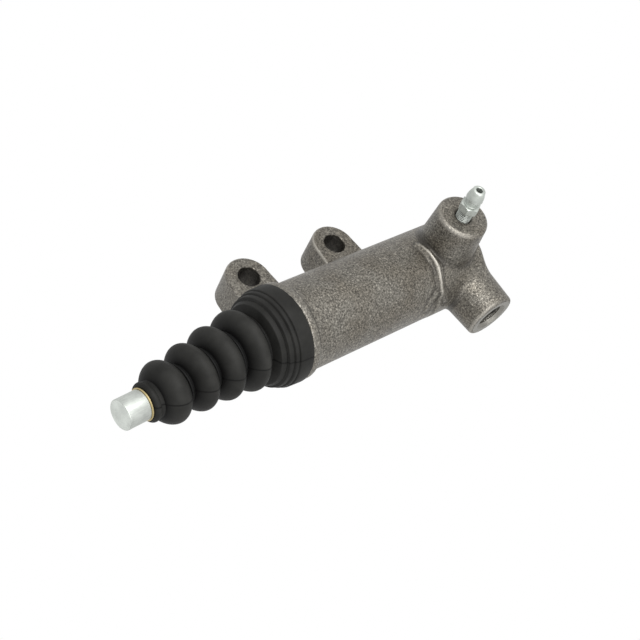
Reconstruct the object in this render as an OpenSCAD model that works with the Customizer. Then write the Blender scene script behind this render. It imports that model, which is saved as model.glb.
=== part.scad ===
// Clutch slave cylinder: cast iron body with two bolt ears, inlet port and bleeder boss,
// piston with cups and spring, push rod, rubber boot and bleed screw.
// Origin: centre of the two bolt holes on the mounting face, the underside of the ears.
// +X runs along the barrel to its closed end, +Y away from the barrel, +Z out of the mounting face.

/* [Barrel] */
// Bore of the cylinder, 13/16 inch
bore_d = 20.64; // [18:0.01:21.5]
// Outside diameter of the cast barrel
barrel_d = 34; // [32:0.5:40]
// Length of the barrel from the front of the flange to the closed end
barrel_len = 101.5; // [98:0.5:120]
// Thickness of the closed end
end_wall = 8.5; // [6:0.5:12]
// Rounding of the closed end
end_round = 3; // [1:0.5:5]
// Diameter of the thicker head that carries the port and the bleeder boss
head_d = 36; // [34.5:0.5:42]
// Length of the thicker head
head_len = 31.5; // [28:0.5:36]
// Slope at the front of the head
head_slope = 1.6; // [0.5:0.1:3]

/* [Flange and spigot] */
// Diameter of the flange that the boot meets
flange_d = 39; // [37:0.5:46]
// Width of the flange rim
flange_w = 2.6; // [1.5:0.1:5]
// Length of the slope behind the flange rim
flange_slope = 2.6; // [1:0.1:6]
// Diameter of the spigot that the boot grips
spigot_d = 30.4; // [29.8:0.1:31]
// Length of the spigot in front of the flange
spigot_len = 8; // [7.5:0.1:8.3]
// Depth of the groove for the bead of the boot
spigot_groove = 1.2; // [0.8:0.1:1.4]
// Width of that groove
spigot_groove_w = 3; // [2:0.1:3.5]

/* [Ears] */
// Distance between the two bolt holes
hole_spacing = 44; // [40:0.5:52]
// Diameter of the bolt holes, for M8
hole_d = 8.7; // [8:0.1:9.5]
// Width of an ear, which is also the diameter of its round end
ear_w = 18.4; // [16.4:0.2:21]
// Thickness of an ear
ear_t = 15; // [12:0.5:18]
// Rounding of the ear edges
ear_round = 1.5; // [0.5:0.1:2.5]
// Distance from the barrel axis to the bolt holes
ear_reach = 28.7; // [27:0.1:34]
// Distance from the front of the flange to the first bolt hole
first_hole = 10.3; // [10:0.1:14]
// How much an ear widens towards the barrel on its front side
ear_flare = 1.6; // [0.5:0.1:2.5]
// Distance from the barrel axis to the inner end of the ear's foot
ear_foot = 8; // [6:0.5:12]
// Height of the barrel axis above the mounting face
axis_height = 20.5; // [20:0.1:24]

/* [Inlet port] */
// Distance from the front of the flange to the port axis
port_x = 89; // [87:0.5:89.5]
// Distance from the barrel axis to the face of the port
port_reach = 29.7; // [28:0.1:36]
// Diameter of the port boss at its face
port_d = 20.7; // [18:0.1:23]
// How much the radius of the port boss grows down to the barrel axis
port_draft = 1.3; // [0.2:0.1:2]
// Rounding of the edge of the port face
port_round = 1.2; // [0.4:0.1:2]
// Tapped bore of the port, for M12 x 1
port_bore_d = 11; // [9:0.1:12.5]
// Depth of the tapped bore
port_depth = 13; // [10:0.5:15]
// Width of the chamfer at the mouth of the port
port_chamfer = 1.3; // [0.4:0.1:2]
// Diameter of the passage from the port into the bore
port_passage_d = 3; // [2:0.1:4]

/* [Bleeder boss] */
// Distance from the front of the flange to the axis of the bleeder boss
boss_x = 81.2; // [80:0.2:84]
// Height of the bleeder boss above the barrel axis
boss_reach = 32.7; // [30:0.1:36]
// Diameter of the bleeder boss
boss_d = 20.7; // [18:0.1:23]
// Rounding of the top edge of the bleeder boss
boss_round = 1.6; // [0.4:0.1:2.5]
// Lean of the bleeder boss towards the flange, in degrees
boss_lean = 3; // [0:0.5:5]
// Diameter of the tapped hole for the bleed screw, M6
bleed_hole_d = 6; // [5.5:0.1:7]
// Depth of the tapped hole
bleed_depth = 12; // [9:0.5:14]
// Width of the chamfer at the mouth of the tapped hole
bleed_chamfer = 0.7; // [0.3:0.1:1.2]
// Diameter of the passage from the bleed screw seat into the bore
bleed_passage_d = 2.2; // [1.5:0.1:3]

/* [Bleed screw] */
// Width across the flats of the hexagon
hex_af = 7; // [6.5:0.5:9]
// Length of the hexagon
hex_len = 4.3; // [3:0.1:6]
// Thread that shows between the boss and the hexagon
thread_shown = 3.2; // [1:0.1:5]
// Length of the neck between the hexagon and the barb
neck_len = 1.6; // [0.8:0.1:3]
// Diameter of the neck
neck_d = 4.6; // [4:0.1:5]
// Widest diameter of the hose barb
barb_d = 6.4; // [5.5:0.1:7]
// Diameter of the tip of the barb
barb_tip_d = 4.8; // [4:0.1:5.4]
// Length of the hose barb
barb_len = 5.6; // [4:0.1:8]
// Diameter of the drilling through the screw
screw_drill_d = 2.2; // [1.5:0.1:2.6]

/* [Piston and seals] */
// Length of the piston without its nose
piston_len = 32; // [28:0.5:34]
// Radial clearance between piston and bore
piston_fit = 0.05; // [0.02:0.01:0.09]
// Diameter of the opening for the push rod at the front of the piston
socket_d = 14; // [12:0.5:15]
// Width of a rubber cup
cup_w = 4.6; // [3.5:0.1:5.5]
// Depth of the rubber cups under the bore
cup_depth = 3.4; // [2.5:0.1:4]
// Diameter of the nose that carries the primary cup
nose_d = 8; // [6:0.5:9]
// Length of that nose
nose_len = 2.8; // [2:0.1:4]
// Diameter of the cup spreader
spreader_d = 15.6; // [13:0.2:16]
// Thickness of the cup spreader
spreader_t = 1.2; // [0.8:0.1:2]
// Outer diameter of the stop washer
washer_d = 22.2; // [22:0.1:22.6]
// Inner diameter of the stop washer
washer_hole_d = 16.6; // [15:0.2:17]
// Thickness of the stop washer
washer_t = 1; // [0.8:0.1:1.4]
// Thickness of the snap ring
ring_t = 1.2; // [1:0.1:1.5]
// Radial width of the snap ring
ring_w = 2.2; // [1.6:0.1:2.6]
// Depth of the snap ring groove outside the washer
ring_groove = 0.9; // [0.6:0.1:1.1]

/* [Return spring] */
// Wire diameter of the return spring
wire_d = 1.2; // [0.8:0.1:1.6]
// Coil diameter at the piston, between wire centres
coil_small_d = 9.4; // [8.6:0.1:12]
// Coil diameter at the closed end, between wire centres
coil_large_d = 18; // [14:0.1:18.4]
// Number of turns
coil_turns = 8; // [5:1:10]

/* [Push rod] */
// Distance from the front of the flange back to the centre of the rod's ball end
ball_x = 15; // [13:0.5:16]
// Diameter of the ball end
ball_d = 9; // [8:0.1:10]
// Clearance between the ball end and its socket
ball_fit = 0.08; // [0.04:0.01:0.1]
// Diameter of the rod
rod_d = 7.6; // [6.5:0.1:8]
// Distance from the ball centre to the front face of the tip
rod_len = 85.3; // [82:0.1:95]
// Diameter of the tip
tip_d = 11; // [10:0.1:12]
// Length of the tip in front of the boot
tip_len = 8.6; // [6:0.1:12]
// Chamfer around the front face of the tip
tip_chamfer = 0.5; // [0.2:0.1:1.5]
// Diameter of the thin rim behind the tip
rim_d = 11.8; // [11:0.1:12.6]
// Width of that rim
rim_w = 0.6; // [0.3:0.1:1]
// Lean of the rod to the side as it hangs in its boot, in degrees
rod_lean = 2.7; // [0:0.1:3.5]

/* [Boot] */
// Wall of the boot
boot_wall = 1.6; // [1.2:0.1:1.8]
// Clearance of the boot to what it grips
boot_fit = 0.3; // [0.25:0.01:0.35]
// Diameter of the first fold, at the rod
fold_1_d = 22.2; // [20:0.2:26]
// Diameter of the second fold
fold_2_d = 23.8; // [22:0.2:28]
// Diameter of the third fold
fold_3_d = 26.4; // [24:0.2:30]
// Diameter of the fourth fold
fold_4_d = 29; // [28:0.2:33]
// Depth of the folds
fold_depth = 3.6; // [2:0.1:4]
// Width of the valley between two folds
valley_w = 2.2; // [1.6:0.1:3]
// Diameter of the widest band of the collar
collar_d = 38; // [37:0.2:44]
// Length of the collar
collar_len = 9.6; // [9:0.1:11]
// Diameter of the bead around the rod
lip_d = 13.8; // [13:0.1:16]
// Width of that bead
lip_w = 2.2; // [1.6:0.1:3]

/* [Hidden] */
$fn = 64;
cut = 1;

// Colours as the photo shows them
iron = [0.47, 0.44, 0.41];
zinc = [0.82, 0.84, 0.82];
rubber = [0.12, 0.12, 0.12];
steel = [0.62, 0.63, 0.64];

// The barrel frame has its origin where the barrel axis meets the front of the flange
flange_at = [-(first_hole + hole_spacing / 2), -ear_reach, axis_height];
head_x = barrel_len - head_len;
bore_end = barrel_len - end_wall;
ring_gap = 0.05;
shoulder_x = -2.5;
washer_x = shoulder_x - washer_t;
ring_x = washer_x - ring_gap - ring_t;
piston_x = shoulder_x + ring_gap;
piston_end = piston_x + piston_len;
piston_r = bore_d / 2 - piston_fit;
cup_r = piston_r;
cup_gap = 0.1;
cup_x = piston_end + cup_gap;
cup_land = 2;
spreader_x = piston_end + nose_len + cup_gap;
spring_x = spreader_x + spreader_t + cup_gap;
groove_end = piston_end - cup_land;
groove_x = groove_end - cup_w - 2 * cup_gap;
socket_r = ball_d / 2 + ball_fit;
ring_r = washer_d / 2 + ring_groove;
screw_fit = 0.05;
screw_r = bleed_hole_d / 2 - screw_fit;
seat_drop = 2;
screw_seat = boss_reach - bleed_depth;
screw_lift = 0.15;
cross_drill_d = 1.6;
port_seat_drop = 3;

// Puts its children in the barrel frame
module at_barrel() {
  translate(flange_at) children();
}

// Cylinder along the barrel axis from x0 to x1
module bar(x0, x1, r) {
  translate([x0, 0, 0]) rotate([0, 90, 0]) cylinder(h = x1 - x0, r = r);
}

// Cone along the barrel axis from radius r0 at x0 to r1 at x1
module bar_cone(x0, x1, r0, r1) {
  translate([x0, 0, 0]) rotate([0, 90, 0]) cylinder(h = x1 - x0, r1 = r0, r2 = r1);
}

// Half of a disc's section with rounded rims, radius r, height h, rounding e
module rounded_half(r, h, e) {
  square([r - e, h]);
  translate([0, e]) square([r, h - 2 * e]);
  translate([r - e, e]) circle(r = e, $fn = 32);
  translate([r - e, h - e]) circle(r = e, $fn = 32);
}

// Half of a bar's section with its far rim rounded, from 0 to h
module rounded_end(r, h, e) {
  square([r, h - e]);
  square([r - e, h]);
  translate([r - e, h - e]) circle(r = e, $fn = 32);
}

// Barrel with its flange, spigot and the thicker head at the closed end
module barrel_outside() {
  rotate([0, 90, 0]) rotate_extrude() rounded_end(barrel_d / 2, barrel_len, end_round);
  translate([head_x, 0, 0]) rotate([0, 90, 0]) rotate_extrude()
    rounded_end(head_d / 2, head_len, end_round);
  bar_cone(head_x - head_slope, head_x, barrel_d / 2 - 0.2, head_d / 2);
  rotate([0, 90, 0]) rotate_extrude() rounded_half(flange_d / 2, flange_w, 0.5);
  bar_cone(flange_w - 0.5, flange_w + flange_slope, flange_d / 2 - 0.3, barrel_d / 2 - 0.1);
  bar(-spigot_len, cut, spigot_d / 2);
}

// One bolt ear: round end, rounded slab to the barrel and a flare on its front side
module ear(x) {
  slab_w = ear_w / 2 - ear_round;
  under = -axis_height;
  flare_low = under + ear_round;
  flare_h = ear_t - 2 * ear_round;
  translate([x, ear_reach, under]) rotate_extrude() rounded_half(ear_w / 2, ear_t, ear_round);
  translate([x, ear_reach, under]) rotate([90, 0, 0]) linear_extrude(ear_reach - ear_foot) {
    translate([-slab_w, 0]) square([2 * slab_w, ear_t]);
    translate([-ear_w / 2, ear_round]) square([ear_w, ear_t - 2 * ear_round]);
    for (side = [-slab_w, slab_w], level = [ear_round, ear_t - ear_round])
      translate([side, level]) circle(r = ear_round, $fn = 32);
  }
  translate([x, 0, flare_low]) linear_extrude(flare_h)
    polygon([[0, ear_foot], [-ear_w / 2 - ear_flare, ear_foot],
             [-ear_w / 2 - ear_flare, ear_reach / 2], [-ear_w / 2, ear_reach], [0, ear_reach]]);
}

// Port boss with draft, its face towards -Y
module port_boss() {
  face_r = port_d / 2;
  face_at = port_reach - port_round;
  translate([port_x, 0, 0]) rotate([90, 0, 0]) {
    cylinder(h = face_at, r1 = face_r + port_draft, r2 = face_r);
    translate([0, 0, face_at - cut]) rotate_extrude()
      rounded_end(face_r, port_round + cut, port_round);
  }
}

// Puts its children on the axis of the bleeder boss, z counted from the barrel axis
module at_boss() {
  translate([boss_x, 0, 0]) rotate([0, -boss_lean, 0]) children();
}

module bleeder_boss() {
  at_boss() rotate_extrude() rounded_end(boss_d / 2, boss_reach, boss_round);
}

// Everything that is machined out of the casting along the barrel axis
module barrel_machining() {
  bar(-spigot_len - cut, bore_end, bore_d / 2);
  bar(-spigot_len - cut, shoulder_x, washer_d / 2 + ring_gap);
  bar(ring_x - ring_gap, washer_x, ring_r);
  groove_at = -(spigot_groove_w + spigot_len) / 2 + 1;
  difference() {
    bar(groove_at, groove_at + spigot_groove_w, spigot_d / 2 + cut);
    bar(groove_at - cut, groove_at + spigot_groove_w + cut, spigot_d / 2 - spigot_groove);
  }
}

// Tapped port with chamfer, cone seat and passage into the bore
module port_machining() {
  seat_at = port_reach - port_depth;
  translate([port_x, 0, 0]) rotate([90, 0, 0]) {
    cylinder(h = port_reach, r = port_passage_d / 2);
    translate([0, 0, seat_at]) cylinder(h = port_depth + cut, r = port_bore_d / 2);
    translate([0, 0, seat_at - port_seat_drop])
      cylinder(h = port_seat_drop, r1 = port_passage_d / 2, r2 = port_bore_d / 2);
    translate([0, 0, port_reach - port_chamfer])
      cylinder(h = port_chamfer, r1 = port_bore_d / 2, r2 = port_bore_d / 2 + port_chamfer);
  }
}

// Tapped hole for the bleed screw with chamfer, cone seat and passage into the bore
module bleed_machining() {
  hole_r = bleed_hole_d / 2;
  at_boss() {
    cylinder(h = boss_reach, r = bleed_passage_d / 2);
    translate([0, 0, screw_seat]) cylinder(h = bleed_depth + cut, r = hole_r);
    translate([0, 0, screw_seat - seat_drop])
      cylinder(h = seat_drop, r1 = bleed_passage_d / 2, r2 = hole_r);
    translate([0, 0, boss_reach - bleed_chamfer])
      cylinder(h = bleed_chamfer, r1 = hole_r, r2 = hole_r + bleed_chamfer);
  }
}

module bolt_holes() {
  for (x = [first_hole, first_hole + hole_spacing])
    translate([x, ear_reach, -axis_height - cut]) cylinder(h = ear_t + 2 * cut, r = hole_d / 2);
}

module cylinder_body() {
  color(iron) at_barrel() difference() {
    union() {
      barrel_outside();
      ear(first_hole);
      ear(first_hole + hole_spacing);
      port_boss();
      bleeder_boss();
    }
    barrel_machining();
    port_machining();
    bleed_machining();
    bolt_holes();
  }
}

// Bleed screw: cone seat, thread, hexagon, neck and hose barb, drilled through
module bleed_screw() {
  seat_z = screw_seat + screw_lift;
  hex_z = boss_reach + thread_shown;
  neck_z = hex_z + hex_len;
  barb_z = neck_z + neck_len;
  top_z = barb_z + barb_len;
  barb_rise = 1;
  point_r = screw_drill_d / 2 + 0.3;
  point_drop = seat_drop * (screw_r - point_r) / (bleed_hole_d / 2 - bleed_passage_d / 2);
  color(zinc) at_barrel() at_boss() difference() {
    union() {
      rotate_extrude()
        polygon([[0, seat_z - point_drop], [point_r, seat_z - point_drop], [screw_r, seat_z],
                 [screw_r, hex_z + hex_len / 2], [neck_d / 2, hex_z + hex_len / 2],
                 [neck_d / 2, barb_z], [barb_d / 2, barb_z + barb_rise],
                 [barb_tip_d / 2, top_z], [0, top_z]]);
      translate([0, 0, hex_z]) cylinder(h = neck_z - hex_z, r = hex_af / sqrt(3), $fn = 6);
    }
    translate([0, 0, seat_z + cut]) cylinder(h = top_z, r = screw_drill_d / 2);
    translate([0, 0, seat_z + 2 * cut]) rotate([90, 0, 0])
      cylinder(h = 2 * bleed_hole_d, r = cross_drill_d / 2, center = true);
  }
}

// Piston with the rod's socket in front, the rear cup's groove and the nose behind
module piston() {
  color(steel) at_barrel() difference() {
    union() {
      bar(piston_x, piston_end, piston_r);
      bar(piston_end - cut, piston_end + nose_len, nose_d / 2);
    }
    bar_cone(piston_x - cut, ball_x, socket_d / 2 + 0.2, socket_r);
    translate([ball_x, 0, 0]) sphere(r = socket_r);
    difference() {
      bar(groove_x, groove_end, bore_d);
      bar(groove_x - cut, groove_end + cut, bore_d / 2 - cup_depth - cup_gap);
    }
  }
}

// Section of a rubber cup with two lips that open towards the pressure side
module cup_section(x, inner_r, w) {
  lip = 1.1;
  base = w / 2;
  polygon([[inner_r, x], [cup_r, x], [cup_r, x + w], [cup_r - lip, x + w],
           [cup_r - 2 * lip, x + base], [inner_r, x + base]]);
}

module primary_cup() {
  color(rubber) at_barrel() rotate([0, 90, 0]) rotate_extrude()
    cup_section(cup_x, nose_d / 2 + cup_gap, nose_len * 2 - cup_gap);
}

module secondary_cup() {
  color(rubber) at_barrel() rotate([0, 90, 0]) rotate_extrude()
    cup_section(groove_x + cup_gap, bore_d / 2 - cup_depth, cup_w);
}

module cup_spreader() {
  color(steel) at_barrel() {
    bar(spreader_x, spreader_x + spreader_t, spreader_d / 2);
    bar(spreader_x, spreader_x + spreader_t + 2, coil_small_d / 2 - wire_d / 2 - 4 * cup_gap);
  }
}

module stop_washer() {
  color(steel) at_barrel() difference() {
    bar(washer_x, shoulder_x, washer_d / 2);
    bar(washer_x - cut, shoulder_x + cut, washer_hole_d / 2);
  }
}

// Snap ring with a gap below
module snap_ring() {
  outer_r = ring_r - ring_gap;
  color(steel) at_barrel() difference() {
    bar(ring_x, ring_x + ring_t, outer_r);
    bar(ring_x - cut, ring_x + ring_t + cut, outer_r - ring_w);
    translate([ring_x - cut, -ring_w, -2 * outer_r]) cube([ring_t + 2 * cut, 2 * ring_w, 2 * outer_r]);
  }
}

// Push rod along its own axis: ball at the origin, tip towards -X
module rod_straight() {
  neck_r = rod_d / 2 - 0.6;
  tip_x = -rod_len;
  rim_x = tip_x + tip_len;
  seat_x = rim_x + rim_w;
  sphere(r = ball_d / 2);
  bar(-ball_d, 0, neck_r);
  bar_cone(-ball_d - 1, -ball_d + 0.01, rod_d / 2, neck_r);
  bar(seat_x, -ball_d - 1, rod_d / 2);
  bar(rim_x, seat_x, rim_d / 2);
  bar(tip_x + tip_chamfer, rim_x, tip_d / 2);
  bar_cone(tip_x, tip_x + tip_chamfer, tip_d / 2 - tip_chamfer, tip_d / 2);
}

module push_rod() {
  color(zinc) at_barrel() translate([ball_x, 0, 0]) rotate([0, 0, rod_lean]) rod_straight();
}

// Points of the conical coil's centre line, t from 0 to 1
function coil_point(t) = let(
  a = 360 * coil_turns * t,
  r = (coil_small_d + (coil_large_d - coil_small_d) * t) / 2,
  x0 = spring_x + wire_d / 2,
  x1 = bore_end - cup_gap - wire_d / 2
) [x0 + (x1 - x0) * t, r * cos(a), r * sin(a)];

// The wire is a ring of points carried along the coil
module return_spring() {
  steps = coil_turns * 20;
  sides = 8;
  points = [for (i = [0:steps], j = [0:sides - 1])
    let(
      t = i / steps,
      a = 360 * coil_turns * t,
      b = 360 * j / sides,
      out = [0, cos(a), sin(a)]
    ) coil_point(t) + wire_d / 2 * (out * cos(b) + [1, 0, 0] * sin(b))];
  walls = [for (i = [0:steps - 1], j = [0:sides - 1])
    let(k = (j + 1) % sides)
    [i * sides + j, i * sides + k, (i + 1) * sides + k, (i + 1) * sides + j]];
  first = [for (j = [sides - 1:-1:0]) j];
  last = [for (j = [0:sides - 1]) steps * sides + j];
  color(steel) at_barrel() polyhedron(points, concat(walls, [first, last]));
}

// Places along the boot, x from the front of the flange
lip_x = ball_x - (rod_len - tip_len - rim_w) * cos(rod_lean) + boot_fit;
fold_from = lip_x + lip_w + 1;
fold_to = -collar_len - valley_w / 2;
fold_pitch = (fold_to - fold_from) / 4;
fold_d = [fold_1_d, fold_2_d, fold_3_d, fold_4_d];
neck_r = lip_d / 2 - 0.7;
function valley_r(i) = i == 0 ? neck_r : (fold_d[i - 1] / 2 - fold_depth);

// One fold's outline from valley i to valley i + 1, a rounded bump over its length
function fold_points(i) = let(
  x0 = fold_from + i * fold_pitch + (i == 0 ? 0 : valley_w / 2),
  x1 = fold_from + (i + 1) * fold_pitch - valley_w / 2,
  r0 = valley_r(i),
  r1 = valley_r(i + 1),
  top = fold_d[i] / 2
) [for (k = [0:8])
    let(
      t = (1 - cos(180 * k / 8)) / 2,
      base = r0 + (r1 - r0) * t,
      bump = pow(1 - pow(abs(2 * t - 1), 2.4), 0.6)
    ) [x0 + (x1 - x0) * t, base + (top - base) * bump]];

// The small ring that stands in each valley
function valley_ring(i) = let(
  x = fold_from + (i + 1) * fold_pitch,
  r = valley_r(i + 1)
) [[x - valley_w / 5, r + 0.5], [x + valley_w / 5, r + 0.5]];

collar_r = collar_d / 2;
function outer_outline() = concat(
  [[lip_x, lip_d / 2 - 1], [lip_x + 0.3, lip_d / 2 - 0.2], [lip_x + lip_w / 2, lip_d / 2],
   [lip_x + lip_w - 0.2, lip_d / 2 - 0.3]],
  [for (i = [0:3]) each concat(fold_points(i), i < 3 ? valley_ring(i) : [])],
  [[fold_to + valley_w / 2, collar_r - 3.6], [-collar_len + 0.5, collar_r - 2.6],
   [-collar_len + 1.5, collar_r - 2.4], [-collar_len + 1.9, collar_r - 3],
   [-collar_len + 2.4, collar_r - 1.7], [-collar_len + 3.8, collar_r - 1.4],
   [-collar_len + 4.1, collar_r - 0.9], [-collar_len + 6.1, collar_r - 0.6],
   [-collar_len + 6.4, collar_r - 0.1], [-boot_fit - 1, collar_r], [-boot_fit, collar_r - 0.5]]
);

// The inside runs a wall's width under the folds and grips the spigot and the rod
function inside_fold(i) = let(
  x0 = fold_from + i * fold_pitch,
  low0 = i == 0 ? lip_bore + 0.6 : valley_r(i) - boot_wall,
  top = fold_d[i] / 2 - boot_wall
) [[x0 + (i == 0 ? 0.6 : 0.8), low0], [x0 + fold_pitch * 0.28, top - 0.9],
   [x0 + fold_pitch * 0.5, top], [x0 + fold_pitch * 0.72, top - 0.9],
   [x0 + fold_pitch - 0.8, valley_r(i + 1) - boot_wall]];

lip_bore = rod_d / 2 + boot_fit;
grip_r = spigot_d / 2 + boot_fit;
bead_r = grip_r - spigot_groove;
bead_at = -(spigot_groove_w + spigot_len) / 2 + 1;
function inner_outline() = concat(
  [[lip_x, lip_bore], [lip_x + lip_w, lip_bore]],
  [for (i = [0:3]) each inside_fold(i)],
  [[fold_to + valley_w / 2 + 0.3, valley_r(4) - boot_wall],
   [-spigot_len - boot_fit, valley_r(4) - boot_wall + 0.4],
   [-spigot_len - boot_fit, grip_r],
   [bead_at + boot_fit, grip_r], [bead_at + boot_fit, bead_r],
   [bead_at + spigot_groove_w - boot_fit, bead_r], [bead_at + spigot_groove_w - boot_fit, grip_r],
   [-boot_fit, grip_r]]
);

// Side shift of the boot's centre: straight at the flange, following the rod at the lip
function boot_shift(x) = let(
  span = fold_to - lip_x,
  s = max(0, min(1, (fold_to - x) / span)),
  far = (ball_x - lip_x) * tan(rod_lean),
  slope = span * tan(rod_lean)
) -(far * (3 * s * s - 2 * s * s * s) + slope * (s * s * s - s * s));

// The boot is one bent tube: its closed outline is carried around the shifted centre
module boot() {
  outer = outer_outline();
  inner = inner_outline();
  loop = concat(outer, [for (k = [len(inner) - 1:-1:0]) inner[k]]);
  n = len(loop);
  sides = 40;
  points = [for (i = [0:n - 1], j = [0:sides - 1])
    let(a = 360 * j / sides, x = loop[i][0], r = loop[i][1])
    [x, boot_shift(x) + r * cos(a), r * sin(a)]];
  faces = [for (i = [0:n - 1], j = [0:sides - 1])
    let(k = (j + 1) % sides, m = (i + 1) % n)
    [i * sides + j, m * sides + j, m * sides + k, i * sides + k]];
  color(rubber) at_barrel() polyhedron(points, faces);
}

cylinder_body();
bleed_screw();
boot();
push_rod();
piston();
primary_cup();
secondary_cup();
cup_spreader();
return_spring();
stop_washer();
snap_ring();
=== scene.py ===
"""Clutch slave cylinder: the looks of each piece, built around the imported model."""
import itertools
import math

import bpy
import numpy as np
from mathutils import Euler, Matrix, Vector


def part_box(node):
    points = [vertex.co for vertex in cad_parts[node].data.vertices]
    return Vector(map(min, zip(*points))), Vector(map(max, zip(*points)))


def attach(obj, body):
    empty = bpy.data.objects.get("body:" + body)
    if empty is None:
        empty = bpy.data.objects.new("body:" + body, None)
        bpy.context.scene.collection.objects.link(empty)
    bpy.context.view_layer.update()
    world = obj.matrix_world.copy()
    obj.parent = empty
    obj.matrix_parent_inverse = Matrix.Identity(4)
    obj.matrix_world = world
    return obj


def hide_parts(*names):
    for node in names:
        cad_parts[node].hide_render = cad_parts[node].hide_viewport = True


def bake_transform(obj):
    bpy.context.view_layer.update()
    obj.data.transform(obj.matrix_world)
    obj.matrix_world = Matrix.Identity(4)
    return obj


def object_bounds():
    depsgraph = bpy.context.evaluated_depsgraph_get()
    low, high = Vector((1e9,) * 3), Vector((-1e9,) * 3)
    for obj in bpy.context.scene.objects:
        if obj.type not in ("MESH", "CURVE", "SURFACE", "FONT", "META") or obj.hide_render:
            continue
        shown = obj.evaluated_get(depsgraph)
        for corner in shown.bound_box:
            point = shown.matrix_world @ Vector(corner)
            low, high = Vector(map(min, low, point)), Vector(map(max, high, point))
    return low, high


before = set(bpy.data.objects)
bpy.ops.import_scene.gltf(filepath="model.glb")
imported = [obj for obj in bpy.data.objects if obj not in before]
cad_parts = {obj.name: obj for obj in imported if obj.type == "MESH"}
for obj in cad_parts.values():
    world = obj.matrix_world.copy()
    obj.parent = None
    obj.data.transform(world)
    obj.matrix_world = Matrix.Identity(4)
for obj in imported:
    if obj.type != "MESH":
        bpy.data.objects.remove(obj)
cad_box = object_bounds()

# Studio: the camera stands where the photograph's did, fitted to the bolt holes, the barrel,
# the port and the bleeder boss. Lengths are in millimetres in the barrel's own frame, whose
# origin lies on the barrel axis at the front of the flange; BARREL_AT puts it in the row frame.
MM = 0.001
SPIGOT_LEN = 8.0
PORT_REACH = 29.7
AXIS_HEIGHT = 20.5
body_low = np.array(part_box("cylinder_body")[0]) / MM
BARREL_AT = body_low + (SPIGOT_LEN, PORT_REACH, AXIS_HEIGHT)
PHOTO_SIDE = 640
FOCAL_PIXELS = 1200
SENSOR_WIDTH = 36.0
CAMERA_FROM_BARREL = (-245.56, -141.52, 321.73)
CAMERA_TURN = (38.762, -20.262, -38.819)

scene = bpy.context.scene
scene.view_settings.view_transform = "Standard"


def in_row_frame(points):
    """Points of the barrel's frame in millimetres, moved to the row frame in metres."""
    return (np.asarray(points, float) + BARREL_AT) * MM


camera_data = bpy.data.cameras.new("camera")
camera_data.sensor_width = SENSOR_WIDTH
camera_data.lens = FOCAL_PIXELS / PHOTO_SIDE * SENSOR_WIDTH
camera = bpy.data.objects.new("camera", camera_data)
camera.location = in_row_frame(CAMERA_FROM_BARREL)
camera.rotation_euler = Euler([math.radians(a) for a in CAMERA_TURN], "XYZ")
scene.collection.objects.link(camera)
scene.camera = camera


def node_adder(tree):
    """Empties a node tree and returns a function that adds a node and sets or links its inputs."""
    tree.nodes.clear()

    def add(kind, inputs=None, **settings):
        made = tree.nodes.new("ShaderNode" + kind)
        for key, value in settings.items():
            setattr(made, key, value)
        for key, value in (inputs or {}).items():
            if isinstance(value, bpy.types.NodeSocket):
                tree.links.new(value, made.inputs[key])
            else:
                made.inputs[key].default_value = value
        return made

    return add


def white_for_the_camera(add, lit, white, output):
    """Camera, gloss and glass rays see plain white; the lit shader serves every other ray."""
    rays = add("LightPath")
    first = add("Math", {0: rays.outputs["Is Camera Ray"], 1: rays.outputs["Is Transmission Ray"]},
                operation="MAXIMUM")
    seen = add("Math", {0: first.outputs[0], 1: rays.outputs["Is Glossy Ray"]}, operation="MAXIMUM")
    mixed = add("MixShader", {0: seen.outputs[0], 1: lit.outputs[0], 2: white.outputs[0]})
    add(output, {"Surface": mixed.outputs[0]})


world = bpy.data.worlds.new("studio")
world.use_nodes = True
scene.world = world
add = node_adder(world.node_tree)
white_for_the_camera(
    add,
    add("Background", {"Color": (0.93, 0.96, 1.0, 1), "Strength": 0.55}),
    add("Background", {"Color": (1, 1, 1, 1), "Strength": 1.0}),
    "OutputWorld",
)

# The floor is a large sheet just under the ears; it takes the shadow and looks white.
FLOOR_HALF = 1.5
FLOOR_GAP = 0.0004
floor_z = cad_box[0][2] - FLOOR_GAP
floor_mesh = bpy.data.meshes.new("floor")
floor_corners = [(-FLOOR_HALF, -FLOOR_HALF, floor_z), (FLOOR_HALF, -FLOOR_HALF, floor_z),
                 (FLOOR_HALF, FLOOR_HALF, floor_z), (-FLOOR_HALF, FLOOR_HALF, floor_z)]
floor_mesh.from_pydata(floor_corners, [], [(0, 1, 2, 3)])
floor = bpy.data.objects.new("floor", floor_mesh)
scene.collection.objects.link(floor)
floor_material = bpy.data.materials.new("white_floor")
floor_material.use_nodes = True
add = node_adder(floor_material.node_tree)
white_for_the_camera(
    add,
    add("BsdfDiffuse", {"Color": (0.8, 0.8, 0.8, 1)}),
    add("Emission", {"Color": (1, 1, 1, 1), "Strength": 1.0}),
    "OutputMaterial",
)
floor_mesh.materials.append(floor_material)


def soft_lamp(name, place, aim, side, power):
    """A square area lamp at place, turned towards aim."""
    data = bpy.data.lights.new(name, "AREA")
    data.size = side
    data.energy = power
    lamp = bpy.data.objects.new(name, data)
    lamp.location = place
    away = np.subtract(place, aim)
    turn = math.atan2(away[1], away[0]) + math.pi / 2
    lamp.rotation_euler = (math.atan2(math.hypot(away[0], away[1]), away[2]), 0.0, turn)
    scene.collection.objects.link(lamp)


LAMP_AIM = (0.0, -0.03, 0.02)
soft_lamp("lamp_above", (-0.1, -0.12, 0.68), LAMP_AIM, 0.45, 4.2)
soft_lamp("lamp_front", (-0.2, -0.65, 0.4), LAMP_AIM, 0.45, 2.0)

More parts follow.
